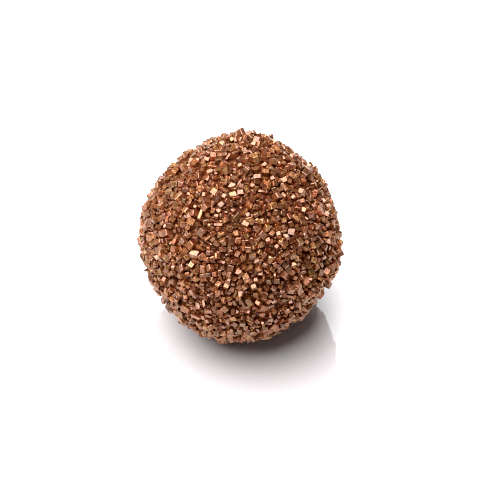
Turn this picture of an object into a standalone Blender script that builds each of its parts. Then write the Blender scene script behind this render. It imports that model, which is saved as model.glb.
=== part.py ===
"""A round chocolate truffle, coated all over in coarse sugar crystals.

It is one solid: a ball rolled by hand, drawn out a little to a blunt peak that leans back from
the top, with a surface that runs along the tops of its crystals. It rests on a small flat spot.
Lengths are in metres, with +Z up and -Y to the front, and the origin is on the flat spot's
plane, under the middle of the ball's bounding box.
"""

import math

import bmesh
import bpy
from mathutils import Vector, noise

BALL_RADIUS = 0.01308
REST_SPOT_RADIUS = 0.0032
BALL_SUBDIVISIONS = 5

# Where the rolling left the ball fuller or flatter than a sphere: the azimuth and elevation of
# the middle, the height there, and the angle over which it fades. Azimuth -90 is the front.
BROAD_FORMS = (
    (84, 56, 0.00058, 9),  # blunt peak, leaning back from the top
    (77, 71, 0.00060, 16),  # the swelling that the peak stands on
    (-106, -43, 0.00058, 22),  # fuller low on the front
    (11, 10, -0.00074, 12),  # flattened right side
    (-15, -14, 0.00012, 7),  # lobe under the flattened side
    (-26, -25, -0.00058, 8),  # notch under the lobe
    (40, 38, -0.00026, 13),  # right shoulder
    (145, 30, -0.00014, 24),  # left shoulder, at the back
    (-159, -20, -0.00030, 7),  # notch low on the left
    (-5, 56, -0.00034, 9),  # dent beside the peak
    (-40, 17, -0.00034, 8),  # dent above the lobe
    (-73, 18, -0.00018, 7),  # left end of a shallow crease across the front
    (-56, 18, -0.00018, 7),  # right end of that crease
    (62, -18, 0.00032, 15),  # fuller low on the back
    (105, 8, -0.00028, 10),  # dent in the back
    (-175, 44, 0.00020, 12),  # fuller high on the left
    (177, 3, 0.00018, 8),  # and at its widest there
)

# The unevenness of the hand-rolled ball, and the relief of the crystals that coat it: how far
# each stands in or out, and how long one rise and fall is.
ROLLING_HEIGHT = 0.00012
ROLLING_WAVELENGTH = 0.0060
CRYSTAL_HEIGHT = 0.00022
CRYSTAL_WAVELENGTH = 0.0016

COAT_COLOUR = (0.30, 0.13, 0.066, 1.0)
COAT_ROUGHNESS = 0.38
COAT_METALLIC = 0.65
SHARP_ANGLE = math.radians(60)


def clear_scene():
    for leftover in list(bpy.data.objects):
        bpy.data.objects.remove(leftover)


def direction_at(azimuth, elevation):
    """The unit vector at an azimuth and an elevation, both in degrees."""
    across = math.cos(math.radians(elevation))
    return Vector((
        across * math.cos(math.radians(azimuth)),
        across * math.sin(math.radians(azimuth)),
        math.sin(math.radians(elevation)),
    ))


def broad_form(direction):
    """How far the rolled form stands out from the sphere in this direction."""
    height = 0.0
    for azimuth, elevation, middle_height, spread in BROAD_FORMS:
        apart = math.degrees(direction.angle(direction_at(azimuth, elevation)))
        height += middle_height * math.exp(-0.5 * (apart / spread) ** 2)
    return height


def surface_radius(direction):
    """The distance from the ball's centre to its surface in this direction."""
    on_sphere = direction * BALL_RADIUS
    rolling = ROLLING_HEIGHT * noise.noise(on_sphere / ROLLING_WAVELENGTH)
    crystals = CRYSTAL_HEIGHT * noise.noise(on_sphere / CRYSTAL_WAVELENGTH)
    return BALL_RADIUS + broad_form(direction) + rolling + crystals


def shape_ball(bm):
    """A finely divided sphere, with each point moved in or out to the truffle's own surface."""
    bmesh.ops.create_icosphere(bm, subdivisions=BALL_SUBDIVISIONS, radius=1.0)
    for vertex in bm.verts:
        direction = vertex.co.normalized()
        vertex.co = direction * surface_radius(direction)


def cut_rest_spot(bm):
    """Cuts the ball's foot off flat, at the height that gives the rest spot its radius."""
    below_centre = math.sqrt(BALL_RADIUS ** 2 - REST_SPOT_RADIUS ** 2)
    cut = bmesh.ops.bisect_plane(
        bm,
        geom=list(bm.verts) + list(bm.edges) + list(bm.faces),
        plane_co=(0, 0, -below_centre),
        plane_no=(0, 0, -1),
        clear_outer=True,
    )
    rim = [piece for piece in cut["geom_cut"] if isinstance(piece, bmesh.types.BMEdge)]
    bmesh.ops.contextual_create(bm, geom=rim)
    bmesh.ops.recalc_face_normals(bm, faces=bm.faces)


def move_to_origin(bm):
    """Puts the foot's plane at z = 0, and the middle of the bounding box over the origin."""
    lowest, highest = [
        Vector(pick(vertex.co[axis] for vertex in bm.verts) for axis in range(3))
        for pick in (min, max)
    ]
    middle = (lowest + highest) / 2
    bmesh.ops.translate(bm, verts=bm.verts, vec=(-middle.x, -middle.y, -lowest.z))


def coat_material():
    material = bpy.data.materials.new("sugar_coat")
    material.use_nodes = True
    shader = material.node_tree.nodes["Principled BSDF"]
    shader.inputs["Base Color"].default_value = COAT_COLOUR
    shader.inputs["Roughness"].default_value = COAT_ROUGHNESS
    shader.inputs["Metallic"].default_value = COAT_METALLIC
    material.diffuse_color = COAT_COLOUR
    return material


def make_truffle():
    bm = bmesh.new()
    shape_ball(bm)
    cut_rest_spot(bm)
    move_to_origin(bm)
    mesh = bpy.data.meshes.new("truffle")
    bm.to_mesh(mesh)
    bm.free()
    mesh.shade_smooth()
    mesh.set_sharp_from_angle(angle=SHARP_ANGLE)
    mesh.materials.append(coat_material())
    truffle = bpy.data.objects.new("truffle", mesh)
    bpy.context.scene.collection.objects.link(truffle)
    return truffle


clear_scene()
make_truffle()
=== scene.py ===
"""The looks of a chocolate truffle: a dark chocolate ball under a coat of coarse bronze sugar.

The coat is thousands of sugar crystals at true size, in kinds such as cubes, bars and plates.
Each kind has some prototype crystals, made from a cube by a bevel, chips and at times a pit.
Copies of them are stretched, sheared and turned, and joined into one mesh for each kind. The
crystals lie in three layers: outer ones, packed side by side; smaller fillers, where those leave
room; and bedded ones, pressed into the chocolate. Lengths are in metres and angles in degrees,
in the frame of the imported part: +Z up, -Y to the front.
"""

import math

import bmesh
import bpy
import numpy as np
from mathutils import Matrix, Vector
from mathutils.bvhtree import BVHTree


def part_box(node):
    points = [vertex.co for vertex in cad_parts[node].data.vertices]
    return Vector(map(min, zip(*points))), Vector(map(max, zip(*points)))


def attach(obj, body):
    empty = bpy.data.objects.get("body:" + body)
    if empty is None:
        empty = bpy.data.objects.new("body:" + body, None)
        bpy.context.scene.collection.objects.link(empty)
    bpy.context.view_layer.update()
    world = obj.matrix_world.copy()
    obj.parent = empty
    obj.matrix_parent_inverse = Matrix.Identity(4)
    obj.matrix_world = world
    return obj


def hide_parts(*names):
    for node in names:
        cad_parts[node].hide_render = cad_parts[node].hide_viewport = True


MM = 0.001
SEED = 20

# The camera looks down on the truffle from the front, and aims a little below its centre.
CAMERA_ELEVATION = 47
CAMERA_DISTANCE = 300 * MM
CAMERA_NEAREST = 10 * MM
VIEW_WIDTH = 61.3 * MM
AIM_BELOW_CENTRE = 0.66 * MM
SENSOR_WIDTH = 36  # in millimetres, as camera lenses are

# The chocolate ball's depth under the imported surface.
CORE_DEPTH = 0.88 * MM
CORE_SUBDIVISIONS = 5

# Each layer's crystals are spread evenly round the ball and then moved at random, by about this
# over the square root of their number, on a ball of radius 1.
SPOT_SCATTER = 0.6

# The outer crystals: how many are tried, and the share of them that lie flat, give or take a
# tilt. Those that end up standing out too far are left out.
OUTER_CRYSTALS = 2900
LYING_SHARE = 0.22
LYING_TILT = 16
MOST_STAND_OUT = 0.38 * MM

# The fillers: how many are tried, their size against the outer crystals', and how close to its
# neighbours one may be, as a share of their two radii together.
FILLERS_TRIED = 6000
FILLER_SCALE = 0.75
FILLER_ROOM = 0.98

# The bedded crystals: how many there are, and the depth of their tops.
BEDDED_CRYSTALS = 6500
BEDDED_DEPTH = 0.68 * MM

# Outer crystals and fillers are pressed this far into the chocolate.
PRESSED_IN = 0.12 * MM

# How the outer crystals are packed.
PACKING_ROUNDS = 140
ROUNDS_A_SEARCH = 10  # from one search for neighbours to the next
SEARCH_MARGIN = 0.05 * MM  # how far off a neighbour may be
START_DEPTH = 0.5 * CORE_DEPTH
GIVE = 0.35  # the share of each overlap that a round takes out
LESS_OUTWARDS = 0.85  # the share of the push outwards or inwards that is left out
GAP = 0.065 * MM  # between crystals
DRAW_IN = 0.022 * MM  # how far the first round draws each crystal in
NEAR_PARALLEL = 0.1  # two edges at an angle with a smaller sine count as parallel

# How a crystal differs from a box. Chips, bevels and pits are measured on a crystal one unit
# across, or as shares of the face that has the pit.
MOST_SHEAR = 0.10
MOST_TAPER = 0.16
CHIP_STRAY = 0.35  # how far a chip's direction strays from a corner's, an edge's or a face's
SHORTEST_AIM = 0.8  # a direction that comes out shorter makes no chip
PIT_FACES = 3  # the pit is in one of this many largest faces
PIT_RIM = (0.14, 0.38)  # the width of the face that is left around the pit
PIT_WALL = 0.10  # the width of the pit's wall, seen from above
PIT_STEEPNESS = 0.95  # the wall's depth for its width

# How much commoner small crystals are than large ones, where 1 is as common.
SIZE_SKEW = 1.2

# The empty edge of each tile of the bake map, as a share of the tile.
TILE_MARGIN = 0.06

# Each kind's share of the crystals, its size, smallest and largest, and its three sides as
# shares of that size. Then how its prototypes are made: how many, the most chips, how deep
# those are, the bevel's width, and the share of them that have a pit.
KINDS = {
    "cubes": {
        "share": 0.24,
        "size": (0.58 * MM, 1.04 * MM),
        "sides": ((0.90, 1.06), (0.86, 1.02), (0.82, 1.00)),
        "prototypes": 20,
        "most_chips": 2,
        "chip": (0.06, 0.20),
        "bevel": (0.045, 0.14),
        "pits": 0.45,
    },
    "blocks": {
        "share": 0.25,
        "size": (0.52 * MM, 0.98 * MM),
        "sides": ((1.08, 1.42), (0.80, 0.98), (0.68, 0.88)),
        "prototypes": 18,
        "most_chips": 2,
        "chip": (0.06, 0.20),
        "bevel": (0.045, 0.14),
        "pits": 0.4,
    },
    "bars": {
        "share": 0.18,
        "size": (0.50 * MM, 0.94 * MM),
        "sides": ((1.20, 1.70), (0.38, 0.58), (0.38, 0.60)),
        "prototypes": 10,
        "most_chips": 1,
        "chip": (0.05, 0.14),
        "bevel": (0.06, 0.12),
        "pits": 0.0,
    },
    "plates": {
        "share": 0.06,
        "size": (0.58 * MM, 0.98 * MM),
        "sides": ((1.00, 1.25), (0.85, 1.05), (0.34, 0.50)),
        "prototypes": 10,
        "most_chips": 2,
        "chip": (0.08, 0.22),
        "bevel": (0.06, 0.10),
        "pits": 0.0,
    },
    "shards": {
        "share": 0.18,
        "size": (0.50 * MM, 1.05 * MM),
        "sides": ((0.95, 1.20), (0.85, 1.05), (0.70, 0.98)),
        "prototypes": 24,
        "most_chips": 6,
        "chip": (0.12, 0.32),
        "bevel": (0.05, 0.09),
        "pits": 0.0,
    },
    "fines": {
        "share": 0.09,
        "size": (0.24 * MM, 0.44 * MM),
        "sides": ((0.90, 1.40), (0.80, 1.00), (0.60, 0.95)),
        "prototypes": 12,
        "most_chips": 2,
        "chip": (0.10, 0.30),
        "bevel": (0.05, 0.09),
        "pits": 0.0,
    },
}

# The lustre's colours, with how common each is, and how much lighter or darker one crystal is
# than another of its colour.
TINTS = (
    ((0.323, 0.115, 0.049), 0.35),  # bronze
    ((0.341, 0.106, 0.040), 0.24),  # copper
    ((0.258, 0.098, 0.049), 0.17),  # dull brown
    ((0.258, 0.105, 0.043), 0.06),  # olive brown
    ((0.291, 0.105, 0.056), 0.06),  # mauve brown
    ((0.392, 0.160, 0.060), 0.12),  # gold
)
TINT_SPREAD = 0.16

# Painted shade: the bedded crystals' tints are darkened and reddened by this, so the gaps down to
# them look deeper.
BEDDED_SHADE = (0.85, 0.68, 0.52)

# The middle of a noise texture's values, which is stretched to each range that is asked for.
NOISE_LOW = 0.3
NOISE_HIGH = 0.7

# The marks on the sugar, each with its width and its detail.
FROST = (0.30 * MM, 4.0)
PATCHES = (3.5 * MM, 2.0)
CASTS = (0.70 * MM, 2.0)
SMEARS = (0.45 * MM, 2.0)
RIPPLES = (0.30 * MM, 1.0)
GRAIN = (0.07 * MM, 2.0)

# What the marks do: frost and patches change the lightness, casts the hue, where 0.5 is none,
# smears the roughness, and ripples and grain the relief, by its depth and its strength.
FROST_LIGHT = (0.50, 1.45)
PATCH_LIGHT = (0.90, 1.08)
CAST_HUE = (0.488, 0.512)
LUSTRE_ROUGHNESS = (0.31, 0.43)
RIPPLE_RELIEF = (0.12 * MM, 0.6)
GRAIN_RELIEF = (0.004 * MM, 0.5)

# The lustre's shine, and the clear glaze over it.
LUSTRE_METALLIC = 0.75
LUSTRE_SPECULAR_TINT = (1.0, 0.66, 0.30, 1.0)
GLAZE_WEIGHT = 0.59
GLAZE_ROUGHNESS = 0.11
GLAZE_IOR = 1.65

# The chocolate: two colours in cloudy patches, a fine grain and a faint sheen.
CHOCOLATE_DARK = (0.048, 0.010, 0.003, 1)
CHOCOLATE_LIGHT = (0.110, 0.026, 0.008, 1)
CHOCOLATE_CLOUDS = (1.8 * MM, 3.0)
CHOCOLATE_GRAIN = (0.25 * MM, 3.0)
CHOCOLATE_RELIEF = (0.05 * MM, 0.6)
CHOCOLATE_ROUGHNESS = (0.55, 0.80)
CHOCOLATE_SPECULAR = 0.15

# The key light hangs overhead, a little to the left. The back light stands where the glossy table
# mirrors it to the camera, so the truffle's own dim mirror image has a crisp edge against it.
LIGHT_DISTANCE = 600 * MM
KEY_LIGHT = {"elevation": 75, "azimuth": 163, "width": 0.92, "height": 0.76, "watts": 13.00}
BACK_LIGHT = {"elevation": 48, "azimuth": 84, "width": 0.25, "height": 0.25, "watts": 0.67}

# The table, off-white with a trace of pink, which stands in for the warm light the truffle throws
# into its shade on the table: painted bounce light.
TABLE_HALF = 3.0
TABLE_COLOUR = (0.735, 0.705, 0.72, 1)
TABLE_ROUGHNESS = 0.03
TABLE_IOR = 1.74

# The studio around: how bright it is near the horizon, on its walls and overhead, the sines of
# the elevations between which each passes into the next, and how much brighter the left is.
SKY_HORIZON = 0.93
SKY_WALL = 0.0
SKY_TOP = 0.30
HORIZON_FADE = (0.10, 0.22)
TOP_FADE = (0.50, 0.90)
SKY_LEFT = 0.70

# The picture's tones, as pairs of light in and light out, the least light, which shows as
# black, and the softness of its pixels.
TONES = ((0.0, 0.0), (0.10, 0.112), (0.25, 0.265), (0.50, 0.470), (1.0, 0.93))
LEAST_LIGHT = 0.002
PIXEL_FILTER = 1.00


def new_material(name):
    """A new material, with its nodes, its links and its main shader."""
    material = bpy.data.materials.new(name)
    material.use_nodes = True
    nodes = material.node_tree.nodes
    return material, nodes, material.node_tree.links, nodes["Principled BSDF"]


def noise_node(nodes, links, place, width, detail):
    """A noise texture whose features are about a width across."""
    noise = nodes.new("ShaderNodeTexNoise")
    noise.inputs["Scale"].default_value = 1 / width
    noise.inputs["Detail"].default_value = detail
    links.new(place, noise.inputs["Vector"])
    return noise.outputs["Fac"]


def mapped(nodes, links, value, low, high, from_low=NOISE_LOW, from_high=NOISE_HIGH):
    """The value, brought from one range to another, whose ends are numbers or sockets."""
    spread = nodes.new("ShaderNodeMapRange")
    spread.inputs["From Min"].default_value = from_low
    spread.inputs["From Max"].default_value = from_high
    for name, end in (("To Min", low), ("To Max", high)):
        if isinstance(end, bpy.types.NodeSocket):
            links.new(end, spread.inputs[name])
        else:
            spread.inputs[name].default_value = end
    links.new(value, spread.inputs["Value"])
    return spread.outputs["Result"]


def product(nodes, links, one, other):
    """The two values, multiplied."""
    multiply = nodes.new("ShaderNodeMath")
    multiply.operation = "MULTIPLY"
    links.new(one, multiply.inputs[0])
    links.new(other, multiply.inputs[1])
    return multiply.outputs["Value"]


def bump_node(nodes, links, height, depth, strength, below=None):
    """The normal of a relief, which may lie on top of another one."""
    bump = nodes.new("ShaderNodeBump")
    bump.inputs["Distance"].default_value = depth
    bump.inputs["Strength"].default_value = strength
    links.new(height, bump.inputs["Height"])
    if below is not None:
        links.new(below, bump.inputs["Normal"])
    return bump.outputs["Normal"]


def sugar_material():
    """Sugar with a bronze pearl lustre: each crystal's own tint, uneven, frosted and rippled."""
    material, nodes, links, shader = new_material("bronze_sugar")
    place = nodes.new("ShaderNodeTexCoord").outputs["Object"]
    tint = nodes.new("ShaderNodeAttribute")
    tint.attribute_name = "tint"

    frost_light = mapped(nodes, links, noise_node(nodes, links, place, *FROST), *FROST_LIGHT)
    patch_light = mapped(nodes, links, noise_node(nodes, links, place, *PATCHES), *PATCH_LIGHT)
    cast_hue = mapped(nodes, links, noise_node(nodes, links, place, *CASTS), *CAST_HUE)
    colour = nodes.new("ShaderNodeHueSaturation")
    links.new(tint.outputs["Color"], colour.inputs["Color"])
    links.new(cast_hue, colour.inputs["Hue"])
    links.new(product(nodes, links, frost_light, patch_light), colour.inputs["Value"])
    links.new(colour.outputs["Color"], shader.inputs["Base Color"])

    smears = noise_node(nodes, links, place, *SMEARS)
    links.new(mapped(nodes, links, smears, *LUSTRE_ROUGHNESS), shader.inputs["Roughness"])
    shader.inputs["Metallic"].default_value = LUSTRE_METALLIC
    shader.inputs["Specular Tint"].default_value = LUSTRE_SPECULAR_TINT
    shader.inputs["Coat Weight"].default_value = GLAZE_WEIGHT
    shader.inputs["Coat Roughness"].default_value = GLAZE_ROUGHNESS
    shader.inputs["Coat IOR"].default_value = GLAZE_IOR

    ripples = noise_node(nodes, links, place, *RIPPLES)
    grain = noise_node(nodes, links, place, *GRAIN)
    rippled = bump_node(nodes, links, ripples, *RIPPLE_RELIEF)
    grained = bump_node(nodes, links, grain, *GRAIN_RELIEF, below=rippled)
    links.new(grained, shader.inputs["Normal"])
    return material


def chocolate_material():
    """Dark chocolate: cloudy, grainy and dull."""
    material, nodes, links, shader = new_material("dark_chocolate")
    place = nodes.new("ShaderNodeTexCoord").outputs["Object"]
    clouds = noise_node(nodes, links, place, *CHOCOLATE_CLOUDS)
    ramp = nodes.new("ShaderNodeValToRGB")
    dark, light = ramp.color_ramp.elements
    dark.position = NOISE_LOW
    dark.color = CHOCOLATE_DARK
    light.position = NOISE_HIGH
    light.color = CHOCOLATE_LIGHT
    links.new(clouds, ramp.inputs["Fac"])
    links.new(ramp.outputs["Color"], shader.inputs["Base Color"])
    shader.inputs["Specular IOR Level"].default_value = CHOCOLATE_SPECULAR
    grain = noise_node(nodes, links, place, *CHOCOLATE_GRAIN)
    links.new(mapped(nodes, links, grain, *CHOCOLATE_ROUGHNESS), shader.inputs["Roughness"])
    links.new(bump_node(nodes, links, grain, *CHOCOLATE_RELIEF), shader.inputs["Normal"])
    return material


def chip_off(bm, rng, depth):
    """Cuts a corner, an edge or part of a face off the crystal, in a direction drawn at random."""
    direction = Vector(rng.choice((-1, 0, 1), 3) + rng.uniform(-CHIP_STRAY, CHIP_STRAY, 3))
    if direction.length < SHORTEST_AIM:
        return
    direction.normalize()
    reach = max(vertex.co.dot(direction) for vertex in bm.verts)
    cut = bmesh.ops.bisect_plane(
        bm,
        geom=list(bm.verts) + list(bm.edges) + list(bm.faces),
        plane_co=direction * (reach - depth),
        plane_no=direction,
        clear_outer=True,
    )
    rim = [piece for piece in cut["geom_cut"] if isinstance(piece, bmesh.types.BMEdge)]
    bmesh.ops.contextual_create(bm, geom=rim)


def sink_pit(bm, rng):
    """Sinks a small pit into the middle of one of the crystal's largest faces."""
    largest = sorted(bm.faces, key=lambda face: -face.calc_area())[:PIT_FACES]
    face = largest[rng.integers(len(largest))]
    across = math.sqrt(face.calc_area())
    bmesh.ops.inset_individual(bm, faces=[face], thickness=rng.uniform(*PIT_RIM) * across, depth=0)
    wall = PIT_WALL * across
    bmesh.ops.inset_individual(bm, faces=[face], thickness=wall, depth=-PIT_STEEPNESS * wall)


def make_prototype(rng, kind):
    """One crystal, about one unit across: its points, and its triangles as point numbers."""
    bm = bmesh.new()
    bmesh.ops.create_cube(bm, size=1.0)
    taper = 1 - rng.uniform(0, MOST_TAPER, 2)
    for vertex in bm.verts:
        if vertex.co.z > 0:
            vertex.co.xy *= Vector(taper)
    bmesh.ops.bevel(
        bm,
        geom=list(bm.edges),
        offset=rng.uniform(*kind["bevel"]),
        segments=1,
        profile=0.5,
        affect="EDGES",
    )
    for _ in range(rng.integers(0, kind["most_chips"] + 1)):
        chip_off(bm, rng, rng.uniform(*kind["chip"]))
    if rng.random() < kind["pits"]:
        sink_pit(bm, rng)
    bmesh.ops.triangulate(bm, faces=list(bm.faces))
    bmesh.ops.recalc_face_normals(bm, faces=list(bm.faces))
    bm.verts.index_update()
    points = np.array([vertex.co for vertex in bm.verts])
    triangles = np.array([[vertex.index for vertex in face.verts] for face in bm.faces])
    bm.free()
    return points, triangles


def tile_places(points, triangles):
    """Where each triangle's corners lie on a crystal's own cell of the bake map, which is 1 by 1.

    The cell is three tiles wide and two high. A triangle goes on the tile of the axis that it
    mostly faces, along it or against it, as it is seen from there.
    """
    corners = points[triangles]
    normals = np.cross(corners[:, 1] - corners[:, 0], corners[:, 2] - corners[:, 0])
    axis = np.abs(normals).argmax(1)
    against = normals[np.arange(len(axis)), axis] < 0
    seen = [
        np.take_along_axis(corners, ((axis + step) % 3)[:, None, None], 2)[:, :, 0]
        for step in (1, 2)
    ]
    seen[0] = np.where(against[:, None], -seen[0], seen[0])
    inside = np.stack(seen, 2) * (1 - 2 * TILE_MARGIN) + 0.5
    tile = np.stack([axis, against], 1)
    return (tile[:, None] + inside) / (3, 2)


def unit(vectors):
    return vectors / np.linalg.norm(vectors, axis=-1, keepdims=True)


def even_directions(count, rng):
    """Directions spread evenly over a sphere by the golden angle, each moved a little."""
    steps = np.arange(count) + 0.5
    height = 1 - 2 * steps / count
    turn = steps * math.pi * (3 - math.sqrt(5))
    across = np.sqrt(1 - height ** 2)
    spots = np.stack([across * np.cos(turn), across * np.sin(turn), height], 1)
    return unit(spots + rng.normal(0, SPOT_SCATTER / math.sqrt(count), spots.shape))


def random_rotations(count, rng):
    """Rotation matrices spread evenly over all the ways a thing can be turned."""
    quaternions = rng.normal(size=(4, count))
    w, x, y, z = quaternions / np.linalg.norm(quaternions, axis=0)
    rows = [
        [1 - 2 * (y * y + z * z), 2 * (x * y - z * w), 2 * (x * z + y * w)],
        [2 * (x * y + z * w), 1 - 2 * (x * x + z * z), 2 * (y * z - x * w)],
        [2 * (x * z - y * w), 2 * (y * z + x * w), 1 - 2 * (x * x + y * y)],
    ]
    return np.array(rows).transpose(2, 0, 1)


def lying_rotations(normals, rng):
    """Rotation matrices that lay a crystal's +Z face along each normal, give or take a tilt."""
    up = unit(normals + np.radians(LYING_TILT) * rng.normal(size=normals.shape))
    side = unit(np.cross(up, rng.normal(size=up.shape)))
    return np.stack([side, np.cross(up, side), up], 2)


def half_spans(rotation, halves, directions):
    """Half of each box's span along a direction of its own."""
    return (np.abs(np.einsum("nji,nj->ni", rotation, directions)) * halves).sum(1)


def surface_distances(directions, tree, centre):
    """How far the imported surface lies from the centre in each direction."""
    start = Vector(centre)
    return np.array([tree.ray_cast(start, Vector(direction))[3] for direction in directions])


def near_pairs(middles, reach):
    """The pairs of crystals that are near enough to touch, as two arrays of their numbers."""
    squares = (middles ** 2).sum(1)
    apart = squares[:, None] + squares[None, :] - 2 * middles @ middles.T
    near = apart < (reach[:, None] + reach[None, :]) ** 2
    first, second = np.nonzero(near)
    return first[first < second], second[first < second]


def shove(middles, axes, halves, first, second):
    """How far each crystal is pushed off those that it overlaps.

    Each crystal is taken as a box. Two boxes are clear of each other if they are apart along
    one of their face normals, or along a direction square to an edge of each. Where they are
    not, they are pushed along the direction in which they overlap least, each by half.
    """
    between = middles[second] - middles[first]
    square = np.cross(axes[first][:, :, None], axes[second][:, None, :]).reshape(-1, 9, 3)
    lengths = np.linalg.norm(square, axis=2)
    square /= np.maximum(lengths, NEAR_PARALLEL)[:, :, None]
    tried = np.concatenate([axes[first], axes[second], square], 1)
    reach = sum(
        (np.abs(tried @ axes[own].transpose(0, 2, 1)) @ halves[own][:, :, None])[:, :, 0]
        for own in (first, second)
    )
    along = (tried @ between[:, :, None])[:, :, 0]
    clear = np.abs(along) - reach
    # Edges that are near parallel give no direction, so theirs is never the clearest.
    clear[:, -9:][lengths < NEAR_PARALLEL] = -np.inf
    least = clear.argmax(1)
    row = np.arange(len(least))
    overlap = np.maximum(-clear[row, least], 0) * np.sign(along[row, least])
    push = 0.5 * GIVE * overlap[:, None] * tried[row, least]
    moves = np.zeros_like(middles)
    np.add.at(moves, first, -push)
    np.add.at(moves, second, push)
    return moves


def pack_crystals(spots, rotation, sides, tree, centre):
    """Draws the crystals in onto the chocolate ball, and pushes them apart until few overlap.

    Gives back their middles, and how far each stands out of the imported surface.
    """
    axes = rotation.transpose(0, 2, 1)
    halves = sides / 2 + GAP / 2
    reach_down = (np.abs(axes[:, :, 2]) * halves).sum(1)
    span = np.linalg.norm(halves, axis=1)
    centre = np.array(centre)
    surface = surface_distances(spots, tree, centre)
    middles = spots * (surface - START_DEPTH)[:, None]
    for number in range(PACKING_ROUNDS):
        if number % ROUNDS_A_SEARCH == 0:
            first, second = near_pairs(middles, span + SEARCH_MARGIN)
            surface = surface_distances(unit(middles), tree, centre)
        outward = unit(middles)
        moves = shove(middles, axes, halves, first, second)
        moves -= LESS_OUTWARDS * (moves * outward).sum(1, keepdims=True) * outward
        middles += moves
        outward = unit(middles)
        reach = half_spans(rotation, halves, outward)
        lowest = surface - CORE_DEPTH - PRESSED_IN + reach
        distance = np.linalg.norm(middles, axis=1)
        draw = DRAW_IN * (1 - number / PACKING_ROUNDS)
        distance = np.maximum(distance - draw, lowest)
        middles = outward * distance[:, None]
        middles[:, 2] = np.maximum(middles[:, 2], reach_down - centre[2])
    return middles + centre, distance + reach - surface


def kind_values(key):
    """What each kind has under a key, as rows."""
    return np.array([kind[key] for kind in KINDS.values()])


def draw_crystals(count, rng):
    """Draws each crystal's kind and the lengths of its sides."""
    kind = rng.choice(len(KINDS), count, p=kind_values("share"))
    smallest, largest = kind_values("size")[kind].T
    size = smallest + (largest - smallest) * rng.random(count) ** SIZE_SKEW
    shortest, longest = kind_values("sides")[kind].transpose(2, 0, 1)
    sides = size[:, None] * rng.uniform(shortest, longest)
    return np.array(list(KINDS))[kind], sides


def draw_tints(count, rng):
    """Draws each crystal's colour."""
    colours = np.array([colour for colour, share in TINTS])
    chosen = rng.choice(len(TINTS), count, p=[share for colour, share in TINTS])
    return colours[chosen] * np.exp(TINT_SPREAD * rng.normal(size=(count, 1)))


def picked(crystals, which):
    """The crystals that a mask picks out."""
    return {key: rows[which] for key, rows in crystals.items()}


def outer_crystals(tree, centre, rng):
    """The crystals that are packed on the chocolate ball, side by side."""
    kind, sides = draw_crystals(OUTER_CRYSTALS, rng)
    spots = even_directions(OUTER_CRYSTALS, rng)
    lies = rng.random(OUTER_CRYSTALS) < LYING_SHARE
    lying = lying_rotations(spots, rng)
    rotation = np.where(lies[:, None, None], lying, random_rotations(OUTER_CRYSTALS, rng))
    middle, stands_out = pack_crystals(spots, rotation, sides, tree, centre)
    tint = draw_tints(OUTER_CRYSTALS, rng)
    crystals = {"kind": kind, "sides": sides, "middle": middle, "rotation": rotation, "tint": tint}
    return picked(crystals, stands_out < MOST_STAND_OUT)


def filler_crystals(outer, tree, centre, rng):
    """Smaller crystals, set down one by one wherever the others leave room."""
    kind, sides = draw_crystals(FILLERS_TRIED, rng)
    sides *= FILLER_SCALE
    spots = even_directions(FILLERS_TRIED, rng)
    rotation = random_rotations(FILLERS_TRIED, rng)
    surface = surface_distances(spots, tree, centre)
    reach = half_spans(rotation, sides / 2, spots)
    middle = np.array(centre) + spots * (surface - CORE_DEPTH - PRESSED_IN + reach)[:, None]

    # A filler stays if it clears the outer crystals and the fillers before it.
    outer_count = len(outer["middle"])
    middles = np.concatenate([outer["middle"], middle])
    radii = np.concatenate([outer["sides"], sides]).mean(1) / 2
    there = np.arange(len(middles)) < outer_count
    for number in range(outer_count, len(middles)):
        apart = np.linalg.norm(middles[there] - middles[number], axis=1)
        there[number] = (apart > FILLER_ROOM * (radii[there] + radii[number])).all()

    tint = draw_tints(FILLERS_TRIED, rng)
    crystals = {"kind": kind, "sides": sides, "middle": middle, "rotation": rotation, "tint": tint}
    return picked(crystals, there[outer_count:])


def bedded_crystals(tree, centre, rng):
    """The crystals pressed into the chocolate, seen only down the gaps between the others."""
    kind, sides = draw_crystals(BEDDED_CRYSTALS, rng)
    spots = even_directions(BEDDED_CRYSTALS, rng)
    rotation = random_rotations(BEDDED_CRYSTALS, rng)
    surface = surface_distances(spots, tree, centre)
    reach = half_spans(rotation, sides / 2, spots)
    middle = np.array(centre) + spots * (surface - BEDDED_DEPTH - reach)[:, None]
    # Their tints are darkened as painted shade, so the gaps down to them look deeper.
    tint = draw_tints(BEDDED_CRYSTALS, rng) * BEDDED_SHADE
    return {"kind": kind, "sides": sides, "middle": middle, "rotation": rotation, "tint": tint}


def shear_matrices(count, rng):
    """Matrices that lean each crystal's sides a little off square."""
    shear = np.tile(np.eye(3), (count, 1, 1))
    for row, column in ((0, 1), (0, 2), (1, 2)):
        shear[:, row, column] = rng.uniform(-MOST_SHEAR, MOST_SHEAR, count)
    return shear


def triangle_mesh(name, points, triangles):
    """A mesh of flat triangles, given as rows of three point numbers."""
    mesh = bpy.data.meshes.new(name)
    mesh.vertices.add(len(points))
    mesh.vertices.foreach_set("co", points.ravel())
    mesh.loops.add(triangles.size)
    mesh.loops.foreach_set("vertex_index", triangles.ravel())
    mesh.polygons.add(len(triangles))
    mesh.polygons.foreach_set("loop_start", np.arange(0, triangles.size, 3))
    mesh.update(calc_edges=True)
    mesh.shade_flat()
    return mesh


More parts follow.
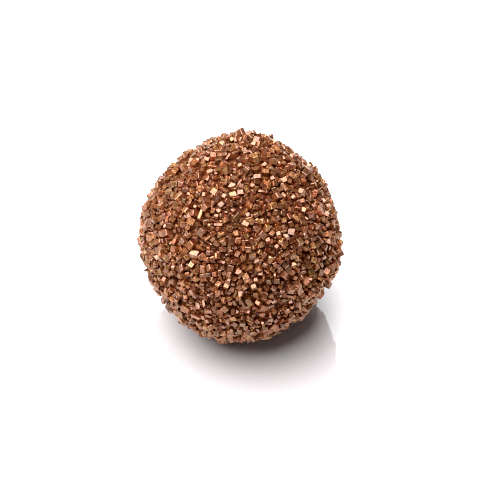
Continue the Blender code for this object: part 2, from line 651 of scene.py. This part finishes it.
def crystal_mesh(name, kind, crystals, rng):
    """One mesh of all the crystals of a kind, each with its own tint and its own bake cell.

    A crystal that would reach below the table is lifted onto it.
    """
    count = len(crystals["sides"])
    shape = crystals["rotation"] @ shear_matrices(count, rng) * crystals["sides"][:, None, :]
    prototypes = [make_prototype(rng, kind) for _ in range(kind["prototypes"])]
    chosen = rng.integers(0, len(prototypes), count)
    cells_a_side = math.ceil(math.sqrt(count))

    all_points, all_triangles, all_tints, all_places = [], [], [], []
    used = 0
    for number, (points, triangles) in enumerate(prototypes):
        mine = np.flatnonzero(chosen == number)
        placed = np.einsum("nij,pj->npi", shape[mine], points)
        placed += crystals["middle"][mine][:, None, :]
        placed[:, :, 2] += np.maximum(-placed[:, :, 2].min(1), 0)[:, None]
        starts = used + np.arange(len(mine)) * len(points)
        cells = np.stack([mine % cells_a_side, mine // cells_a_side], 1)
        places = cells[:, None, None] + tile_places(points, triangles)
        all_points.append(placed.reshape(-1, 3))
        all_triangles.append((triangles[None] + starts[:, None, None]).reshape(-1, 3))
        all_tints.append(np.repeat(crystals["tint"][mine], len(points), axis=0))
        all_places.append(places.reshape(-1, 2) / cells_a_side)
        used += len(mine) * len(points)

    mesh = triangle_mesh(name, np.concatenate(all_points), np.concatenate(all_triangles))
    tints = np.concatenate(all_tints)
    colour = mesh.attributes.new("tint", "FLOAT_COLOR", "POINT")
    colour.data.foreach_set("color", np.c_[tints, np.ones(len(tints))].ravel())
    bake_map = mesh.uv_layers.new(name="OFBake")
    bake_map.uv.foreach_set("vector", np.concatenate(all_places).ravel())
    return mesh


def add_object(name, mesh, material):
    thing = bpy.data.objects.new(name, mesh)
    bpy.context.scene.collection.objects.link(thing)
    mesh.materials.append(material)
    return thing


def make_coat(tree, centre):
    """The coat's crystals: one object for each kind."""
    rng = np.random.default_rng(SEED)
    outer = outer_crystals(tree, centre, rng)
    fillers = filler_crystals(outer, tree, centre, rng)
    layers = [outer, fillers, bedded_crystals(tree, centre, rng)]
    crystals = {key: np.concatenate([layer[key] for layer in layers]) for key in outer}
    material = sugar_material()
    coat = []
    for kind_name, kind in KINDS.items():
        own = picked(crystals, crystals["kind"] == kind_name)
        name = "sugar_" + kind_name
        coat.append(add_object(name, crystal_mesh(name, kind, own, rng), material))
    return coat


def make_core(tree, centre):
    """The chocolate ball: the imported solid's form, drawn in by the thickness of the coat."""
    bm = bmesh.new()
    bmesh.ops.create_icosphere(bm, subdivisions=CORE_SUBDIVISIONS, radius=1.0)
    for vertex in bm.verts:
        outward = vertex.co.normalized()
        surface = tree.ray_cast(centre, outward)[3]
        vertex.co = centre + (surface - CORE_DEPTH) * outward
    mesh = bpy.data.meshes.new("chocolate_core")
    bm.to_mesh(mesh)
    bm.free()
    mesh.shade_smooth()
    return add_object("chocolate_core", mesh, chocolate_material())


def direction_at(elevation, azimuth):
    """The unit vector at an elevation and an azimuth, which goes round from +X towards +Y."""
    across = math.cos(math.radians(elevation))
    return Vector((
        across * math.cos(math.radians(azimuth)),
        across * math.sin(math.radians(azimuth)),
        math.sin(math.radians(elevation)),
    ))


def add_light(name, light, centre):
    """A soft oval light that faces the ball's centre."""
    data = bpy.data.lights.new(name, "AREA")
    data.shape = "ELLIPSE"
    data.size = light["width"]
    data.size_y = light["height"]
    data.energy = light["watts"]
    outward = direction_at(light["elevation"], light["azimuth"])
    thing = bpy.data.objects.new(name, data)
    thing.location = centre + LIGHT_DISTANCE * outward
    thing.rotation_euler = (-outward).to_track_quat("-Z", "Y").to_euler()
    bpy.context.scene.collection.objects.link(thing)


def make_table():
    """A pale glossy table top, in which the truffle is dimly mirrored."""
    corners = [(x * TABLE_HALF, y * TABLE_HALF, 0) for x, y in ((-1, -1), (1, -1), (1, 1), (-1, 1))]
    mesh = bpy.data.meshes.new("table")
    mesh.from_pydata(corners, [], [(0, 1, 2, 3)])
    material, _, _, shader = new_material("white_table")
    shader.inputs["Base Color"].default_value = TABLE_COLOUR
    shader.inputs["Roughness"].default_value = TABLE_ROUGHNESS
    shader.inputs["IOR"].default_value = TABLE_IOR
    add_object("table", mesh, material)


def make_sky():
    """The studio around: bright low down, dark on its walls, dim overhead, brighter at the left."""
    world = bpy.data.worlds.new("studio")
    bpy.context.scene.world = world
    world.use_nodes = True
    nodes, links = world.node_tree.nodes, world.node_tree.links
    direction = nodes.new("ShaderNodeSeparateXYZ")
    links.new(nodes.new("ShaderNodeTexCoord").outputs["Generated"], direction.inputs["Vector"])
    right, _, up = direction.outputs
    wall = mapped(nodes, links, up, SKY_HORIZON, SKY_WALL, *HORIZON_FADE)
    glow = mapped(nodes, links, up, wall, SKY_TOP, *TOP_FADE)
    slant = mapped(nodes, links, right, 1 + SKY_LEFT, 1 - SKY_LEFT, -1, 1)
    links.new(product(nodes, links, glow, slant), nodes["Background"].inputs["Strength"])
    nodes["Background"].inputs["Color"].default_value = (1, 1, 1, 1)


def make_camera(centre):
    """The camera, which looks down on the ball from the front."""
    elevation = math.radians(CAMERA_ELEVATION)
    towards = Vector((0, -math.cos(elevation), math.sin(elevation)))
    image_up = Vector((0, math.sin(elevation), math.cos(elevation)))
    aim = centre - AIM_BELOW_CENTRE * image_up
    data = bpy.data.cameras.new("camera")
    data.sensor_width = SENSOR_WIDTH
    data.lens = SENSOR_WIDTH * CAMERA_DISTANCE / VIEW_WIDTH
    data.clip_start = CAMERA_NEAREST
    camera = bpy.data.objects.new("camera", data)
    camera.location = aim + CAMERA_DISTANCE * towards
    camera.rotation_euler = (-towards).to_track_quat("-Z", "Y").to_euler()
    bpy.context.scene.collection.objects.link(camera)
    bpy.context.scene.camera = camera


def set_tones():
    """Crushes the picture's blacks a little, and eases its bright tones."""
    view = bpy.context.scene.view_settings
    view.view_transform = "Standard"
    view.use_curve_mapping = True
    mapping = view.curve_mapping
    mapping.black_level = [LEAST_LIGHT] * 3
    mapping.extend = "EXTRAPOLATED"
    curve = mapping.curves[3]  # the one for all colours together
    curve.points[0].location = TONES[0]
    curve.points[-1].location = TONES[-1]
    for light_in, light_out in TONES[1:-1]:
        curve.points.new(light_in, light_out)
    mapping.update()


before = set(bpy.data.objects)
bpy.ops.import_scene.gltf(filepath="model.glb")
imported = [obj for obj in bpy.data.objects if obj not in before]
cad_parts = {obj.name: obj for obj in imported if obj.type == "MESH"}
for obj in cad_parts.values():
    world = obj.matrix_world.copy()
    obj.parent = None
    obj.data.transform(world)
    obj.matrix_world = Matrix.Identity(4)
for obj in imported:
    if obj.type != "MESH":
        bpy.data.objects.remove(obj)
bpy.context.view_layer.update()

lowest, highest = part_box("truffle")
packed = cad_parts["truffle"].data
packed_surface = BVHTree.FromPolygons(
    [vertex.co for vertex in packed.vertices],
    [tuple(face.vertices) for face in packed.polygons],
)
ball_centre = (lowest + highest) / 2

make_camera(ball_centre)
make_table()
make_sky()
add_light("key", KEY_LIGHT, ball_centre)
add_light("back", BACK_LIGHT, ball_centre)
chocolate = make_core(packed_surface, ball_centre)
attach(chocolate, "root")
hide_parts("truffle")
for piece in make_coat(packed_surface, ball_centre):
    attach(piece, "root")
    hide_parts("truffle")

set_tones()
bpy.context.scene.cycles.filter_width = PIXEL_FILTER
